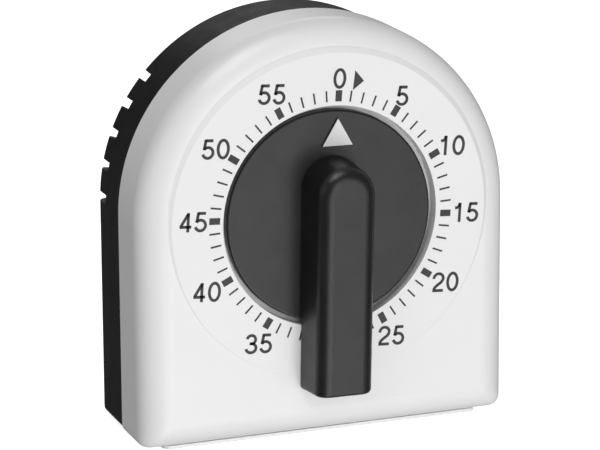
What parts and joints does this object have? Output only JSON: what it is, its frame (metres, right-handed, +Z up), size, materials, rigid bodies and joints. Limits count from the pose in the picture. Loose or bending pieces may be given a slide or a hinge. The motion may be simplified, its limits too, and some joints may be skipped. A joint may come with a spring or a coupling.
{
  "type": "mechanical kitchen timer",
  "caption": "Clockwork kitchen timer with an arched white case, black rear cover, round dial and a long bar knob that turns clockwise to set the minutes.",
  "frame": {"origin": "on the supporting surface, under the middle of the timer's width and overall depth", "axes": "+Z up, the dial faces -Y, +X to the right seen from the front; the knob's axis runs along Y"},
  "size_m": [0.07, 0.0374, 0.0761],
  "materials": {
    "white_plastic": "moulded, satin gloss",
    "black_plastic": "moulded, fine matt",
    "knob_plastic": "moulded, fine satin grain",
    "white_print": "printed",
    "foot_rubber": "matt",
    "brass": "stamped and tumbled",
    "plate_steel": "stamped, zinc plated",
    "arbor_steel": "turned",
    "zinc_steel": "bright zinc",
    "spring_steel": "tempered",
    "nickel": "nickel plated"
  },
  "bodies": {
    "case": {"front_shell": "white_plastic", "rear_cover": "black_plastic", "front_foot": "white_plastic", "rear_foot": "foot_rubber", "cover_screws": "zinc_steel", "front_plate": "plate_steel", "back_plate": "plate_steel", "plate_pillars": "brass", "pillar_screws": "zinc_steel", "movement_screws": "zinc_steel", "stop_pin": "arbor_steel", "mainspring": "spring_steel", "spring_post": "arbor_steel", "hairspring": "spring_steel", "hairspring_stud": "brass", "bell": "nickel", "bell_post": "arbor_steel", "bell_screw": "zinc_steel", "hammer_stud": "arbor_steel", "hammer_spring": "spring_steel", "spring_anchor": "arbor_steel"},
    "knob": {"knob": "knob_plastic", "pointer_mark": "white_print", "main_arbor": "arbor_steel", "clutch_washer": "spring_steel", "arbor_clip": "spring_steel", "stop_arm": "plate_steel", "trip_cam": "brass"},
    "great_wheel": {"great_wheel": "brass"},
    "second_wheel": {"second_wheel": "brass", "second_arbor": "arbor_steel"},
    "third_wheel": {"third_wheel": "brass", "third_arbor": "arbor_steel", "strike_star": "arbor_steel"},
    "escape_wheel": {"escape_wheel": "brass", "escape_arbor": "arbor_steel"},
    "balance": {"balance_wheel": "brass", "balance_staff": "arbor_steel", "pallet_anchor": "arbor_steel"},
    "release": {"release_lever": "plate_steel", "release_arbor": "arbor_steel", "release_finger": "plate_steel"},
    "hammer": {"hammer_arm": "plate_steel", "hammer_head": "brass"}
  },
  "joints": [
    {"name": "knob_turn", "type": "hinge", "parent": "case", "child": "knob", "pos_m": [0, -0.01015, 0.0411], "axis": [0, 1, 0], "range_deg": [0, 354], "deforming": ["mainspring"]},
    {"name": "great_wheel_turn", "type": "hinge", "parent": "case", "child": "great_wheel", "pos_m": [0, -0.00075, 0.0411], "axis": [0, 1, 0], "continuous": true},
    {"name": "second_wheel_turn", "type": "hinge", "parent": "case", "child": "second_wheel", "pos_m": [-0.012, 0.00285, 0.02768], "axis": [0, 1, 0], "continuous": true},
    {"name": "third_wheel_turn", "type": "hinge", "parent": "case", "child": "third_wheel", "pos_m": [0, 0.00285, 0.02383], "axis": [0, 1, 0], "continuous": true},
    {"name": "escape_wheel_turn", "type": "hinge", "parent": "case", "child": "escape_wheel", "pos_m": [0.0106, 0.00285, 0.02628], "axis": [0, 1, 0], "continuous": true},
    {"name": "balance_swing", "type": "hinge", "parent": "case", "child": "balance", "pos_m": [0.01797, 0.00185, 0.03144], "axis": [0, 1, 0], "range_deg": [-12, 12], "stiffness_Nm_per_rad": 0.0000057, "deforming": ["hairspring"]},
    {"name": "release_rock", "type": "hinge", "parent": "case", "child": "release", "pos_m": [-0.018, 0.00185, 0.0491], "axis": [0, 1, 0], "range_deg": [-6.8, 0]},
    {"name": "hammer_swing", "type": "hinge", "parent": "case", "child": "hammer", "pos_m": [0.014, 0.01115, 0.0291], "axis": [0, 1, 0], "range_deg": [-10, 0], "stiffness_Nm_per_rad": 0.002, "springref_deg": 8.59, "deforming": ["hammer_spring"]}
  ],
  "couplings": [
    {"joint": "second_wheel_turn", "follows": "great_wheel_turn", "ratio": -9},
    {"joint": "third_wheel_turn", "follows": "great_wheel_turn", "ratio": 72},
    {"joint": "escape_wheel_turn", "follows": "great_wheel_turn", "ratio": -540},
    {"joint": "release_rock", "follows": "knob_turn", "ratio": -0.0187}
  ]
}
